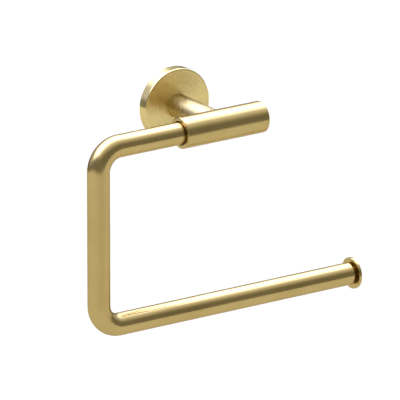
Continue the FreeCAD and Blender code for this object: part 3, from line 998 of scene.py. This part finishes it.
@dataclass
class Barrel:
    """The tube that the arm turns in, its cap, and the bearings, block and stop screw inside."""

    wall: float = 2.0 * MM
    lip: float = 0.6 * MM
    mouth_round: float = 0.9 * MM
    mouth_chamfer: float = 0.3 * MM
    bolt_hole: float = 3.3 * MM
    bolt_window: float = 5.0 * MM
    screw_window: float = 3.2 * MM
    slip: float = 0.03 * MM
    cap_round: float = 1.0 * MM
    joint_round: float = 0.06 * MM
    spigot_round: float = 0.2 * MM
    spigot_wall: float = 3.0 * MM
    step: float = 1.0 * MM
    around: int = 144
    satin: BrushedBrass = field(default_factory=lambda: BrushedBrass(Grain.AROUND))

    def tube(self) -> bpy.types.Object:
        """The tube: a closed outline, drilled for the tie bolt behind and the stop screw below."""
        low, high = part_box("barrel_tube")
        radius = radius_of("barrel_tube", 2)
        bore = radius - self.wall
        length = high[0] - low[0]
        screw = Bore(
            middle("stop_screw", 0) - low[0],
            math.pi,
            radius_of("stop_screw", 0) + self.slip,
            bore,
            self.screw_window,
        )
        bolt = Bore(middle("tie_bolt", 0) - low[0], -math.pi / 2, self.bolt_hole, bore, self.bolt_window)
        stops = [b.along + side * b.window for b in (screw, bolt) for side in (-1, 1)]
        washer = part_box("thrust_washer")[0][0] - low[0]
        corners = [
            Corner(0.0, bore - self.lip + self.mouth_chamfer),
            Corner(0.0, radius, self.mouth_round),
            *[Corner(stop, radius) for stop in stops],
            Corner(length, radius),
            Corner(length, bore),
            *[Corner(stop, bore) for stop in reversed(stops)],
            Corner(washer, bore),
            Corner(washer, bore - self.lip),
            Corner(self.mouth_chamfer, bore - self.lip),
        ]
        spine = x_spine("barrel_tube")
        straight = carried(spine, outline(corners, True, self.step), self.around)[1]
        return mesh_object("barrel_sleeve", *drilled(spine, straight, [screw, bolt]))

    def cap(self) -> bpy.types.Object:
        """The cap: a head with a rounded face, and a hollow spigot grooved for the rubber ring."""
        low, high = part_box("barrel_end_cap")
        ring_low, ring_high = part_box("cap_o_ring")
        radius = radius_of("barrel_end_cap", 2)
        spigot = radius - self.wall - self.slip
        groove = radius_of("cap_o_ring", 2) - (ring_high[0] - ring_low[0]) - self.slip
        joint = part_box("barrel_tube")[1][0] - low[0]
        face = high[0] - low[0]
        inside = radius - self.wall - self.spigot_wall
        groove_start = ring_low[0] - low[0] - 2 * self.slip
        groove_end = ring_high[0] - low[0] + 2 * self.slip
        corners = [
            Corner(joint, 0.0),
            Corner(joint, inside),
            Corner(0.0, inside),
            Corner(0.0, spigot, self.spigot_round),
            Corner(groove_start, spigot),
            Corner(groove_start, groove),
            Corner(groove_end, groove),
            Corner(groove_end, spigot),
            Corner(joint, spigot),
            Corner(joint, radius, self.joint_round),
            Corner(face, radius, self.cap_round),
            Corner(face, 0.0),
        ]
        rows = outline(corners, False, self.step)
        points, straight = carried(x_spine("barrel_end_cap"), rows, self.around)
        return ring_mesh("barrel_cap", points, straight, False)

    def build(self) -> None:
        """Builds the tube and the cap, and dresses what is inside them."""
        satin = made(self.satin)
        dress(self.tube(), satin, Body.WALL, Slot.BRUSHED_BRASS, "barrel_tube")
        dress(self.cap(), satin, Body.WALL, Slot.BRUSHED_BRASS, "barrel_end_cap")
        plastic = made(BUSH_PLASTIC)
        for name in ("outer_bush", "inner_bush", "thrust_washer"):
            dress_node(name, plastic)
        dress_node("cap_o_ring", made(RING_RUBBER))
        dress_node("pivot_block", made(TURNED_BRASS))


@dataclass
class Arm:
    """The bent tube with the turned pin at its upper end and the disc at its free end."""

    wall: float = 1.5 * MM
    bend: float = 15.5 * MM
    lip: float = 0.3 * MM
    collar_length: float = 1.8 * MM
    mouth_gap: float = 0.2 * MM
    stud_radius: float = 2.5 * MM
    stud_round: float = 0.3 * MM
    neck_radius: float = 5.0 * MM
    neck_round: float = 0.15 * MM
    disc_thickness: float = 2.0 * MM
    disc_round: float = 0.35 * MM
    tube_step: float = 1.5 * MM
    disc_step: float = 1.0 * MM
    around: int = 112
    satin: BrushedBrass = field(default_factory=lambda: BrushedBrass(Grain.LENGTHWISE))
    turned: BrushedBrass = field(default_factory=lambda: BrushedBrass(Grain.AROUND))
    plain_turned: BrushedBrass = field(default_factory=lambda: BrushedBrass(Grain.AROUND, straightened=False))

    def tube(self) -> bpy.types.Object:
        """The tube: a closed outline, out along the skin and back along the bore, on the bent axis."""
        low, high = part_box("arm_tube")
        radius = radius_of("arm_tube", 1)
        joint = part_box("barrel_tube")[0][0] - self.mouth_gap - self.collar_length
        start = (joint, middle("arm_tube", 1), high[2] - radius)
        spine = BentSpine(start, low[0] + radius, low[2] + radius, self.bend)
        length = spine.length_to(high[0])
        bore = radius - self.wall
        corners = [
            Corner(0.0, bore),
            Corner(0.0, radius - self.lip / 3),
            Corner(self.lip / 3, radius),
            Corner(length - self.lip, radius),
            Corner(length, radius - self.lip),
            Corner(length, bore),
        ]
        points, straight = carried(spine, outline(corners, True, self.tube_step), self.around)
        return ring_mesh("arm_bent_tube", points, straight, True)

    def disc(self) -> bpy.types.Object:
        """The free end's disc, turned with its neck and its stud from one bar."""
        low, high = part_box("end_disc")
        tube_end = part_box("arm_tube")[1][0]
        rim = radius_of("end_disc", 2)
        stud = tube_end - low[0]
        face = high[0] - low[0]
        corners = [
            Corner(0.0, 0.0),
            Corner(0.0, self.stud_radius, self.stud_round),
            Corner(stud, self.stud_radius),
            Corner(stud, self.neck_radius),
            Corner(face - self.disc_thickness, self.neck_radius, self.neck_round),
            Corner(face - self.disc_thickness, rim, self.disc_round),
            Corner(face, rim, self.disc_round),
            Corner(face, 0.0),
        ]
        rows = outline(corners, False, self.disc_step)
        points, straight = carried(x_spine("end_disc"), rows, self.around)
        return ring_mesh("roll_stop_disc", points, straight, False)

    def build(self) -> None:
        """Builds and dresses the arm's pieces."""
        satin = made(self.satin)
        turned = made(self.turned)
        dress(self.tube(), satin, Body.ARM, Slot.BRUSHED_BRASS, "arm_tube")
        dress(self.disc(), turned, Body.ARM, Slot.BRUSHED_BRASS, "end_disc")
        dress_node("pivot_journal", made(self.plain_turned))
        dress_node("end_plug", made(TURNED_BRASS))


def dress_fasteners() -> None:
    """Gives every screw, pin, washer and clip the same steel."""
    steel = made(FASTENER_STEEL)
    for name in FASTENERS:
        dress_node(name, steel)


@dataclass
class Studio:
    """The pale floor, the soft light and the camera.

    Args:
        azimuth: the camera's turn from straight in front, in degrees, positive towards +X.
        elevation: the camera's height above the horizon, in degrees.
        distance: from the camera to the point that it looks at.
        aim: the point at the middle of the view.
        lens: focal length in millimetres, on a 36 mm sensor.
        floor_drop: how far below the wall flange's middle the floor lies.
        floor_reach: how far the floor runs in front of the wall plane and behind it.
        floor_width: how far the floor runs to either side.
        floor_tone: the floor's tone, linear, before it is balanced against the box's tint.
        floor_balance: how much of the box's tint the floor's colour takes back, as a power.
        box_tint: the overhead light's colour.
        horizon: glow of the whole dome.
        skirt_glow: glow round the box.
        back_glow: what the skirt gains below the box.
        box_glow: glow of the box.
        left_edge, right_edge: x of a direction where the light is gone and where it is whole.
        box_front, skirt_front, cool_front: rise in degrees where each starts and where it is whole.
        box_back, skirt_back: rise in degrees where each is gone and where it is whole.
    """

    azimuth: float = -34.2
    elevation: float = 18.2
    distance: float = 6.0
    aim: tuple = (-0.0078, -0.0448, -0.0531)
    lens: float = 831.0
    floor_drop: float = 0.9
    floor_reach: float = 3.5
    floor_width: float = 20.0
    floor_tone: float = 0.390
    floor_balance: float = 0.88
    box_tint: tuple = (0.94, 1.0, 1.40)
    horizon: float = 0.305
    skirt_glow: float = 0.55
    back_glow: float = 0.6
    box_glow: float = 4.4
    left_edge: tuple = (-0.90, -0.66)
    right_edge: tuple = (0.97, 0.60)
    box_front: tuple = (68.0, 104.0)
    box_back: tuple = (152.0, 134.0)
    skirt_front: tuple = (22.0, 82.0)
    skirt_back: tuple = (182.0, 168.0)
    cool_front: tuple = (40.0, 80.0)

    def camera(self) -> None:
        """Stands the camera at its azimuth and elevation round the aim point."""
        turn, rise = math.radians(self.azimuth), math.radians(self.elevation)
        level = math.cos(rise)
        away = np.array([math.sin(turn) * level, -math.cos(turn) * level, math.sin(rise)])
        data = bpy.data.cameras.new("camera")
        data.lens = self.lens
        data.clip_end = 100.0
        camera = bpy.data.objects.new("camera", data)
        bpy.context.scene.collection.objects.link(camera)
        camera.location = np.array(self.aim) + away * self.distance
        camera.rotation_euler = (math.pi / 2 - rise, 0.0, turn)
        bpy.context.scene.camera = camera

    def floor(self) -> None:
        """Lays a pale floor well below, wide to the sides and cut off in front and behind."""
        across = np.array([-1.0, 1.0, 1.0, -1.0]) * self.floor_width
        deep = np.array([-1.0, -1.0, 1.0, 1.0]) * self.floor_reach
        points = np.stack([across, deep, np.full(4, -self.floor_drop)], axis=-1)
        mesh = bpy.data.meshes.new("floor")
        mesh.from_pydata(points.tolist(), [], [[0, 1, 2, 3]])
        floor = bpy.data.objects.new("floor", mesh)
        bpy.context.scene.collection.objects.link(floor)
        material, graph = new_material("pale_floor")
        tone = self.floor_tone / np.array(self.box_tint) ** self.floor_balance
        finish_surface(graph, {"Base Color": (*tone, 1.0), "Roughness": 0.9, "Specular IOR Level": 0.0})
        mesh.materials.append(material)

    def light(self) -> None:
        """A soft dome: a wide cool box overhead, a skirt of glow round it, and a dim horizon."""
        world = bpy.data.worlds.new("studio")
        bpy.context.scene.world = world
        world.use_nodes = True
        graph = Graph(world.node_tree)
        way = graph.add("ShaderNodeTexCoord", {}, {}, "Generated")
        across, depth, height = (graph.part(way, axis) for axis in "XYZ")
        # Degrees up from the front horizon, over the top and down to the back horizon.
        rise = height.math("ARCTAN2", depth * -1.0) * math.degrees(1.0)
        sides = across.smooth(*self.left_edge)
        back = rise.smooth(*self.box_back) * sides * across.smooth(*self.right_edge)
        box = rise.smooth(*self.box_front) * back
        skirt = rise.smooth(*self.skirt_front) * rise.smooth(*self.skirt_back) * sides
        radiance = self.horizon + skirt * (self.skirt_glow + self.back_glow * back) + box * self.box_glow
        seen = graph.add("ShaderNodeLightPath", {}, {}, "Is Camera Ray")
        strength = radiance + seen * (1.0 - radiance)
        cool = rise.smooth(*self.cool_front) * (1.0 - seen)
        tint = graph.blend(cool, (1.0, 1.0, 1.0), self.box_tint)
        glow = graph.add("ShaderNodeBackground", {}, {"Color": tint, "Strength": strength})
        graph.add("ShaderNodeOutputWorld", {}, {"Surface": glow})

    def build(self) -> None:
        """Sets up the camera, the floor and the light, with colours shown as they are."""
        self.camera()
        self.floor()
        self.light()
        bpy.context.scene.view_settings.view_transform = "Standard"


def main() -> None:
    """Builds the studio and the sub-assemblies in order."""
    Studio().build()
    WallFlange().build()
    Post().build()
    Barrel().build()
    Arm().build()
    dress_fasteners()


if __name__ == "__main__":
    main()
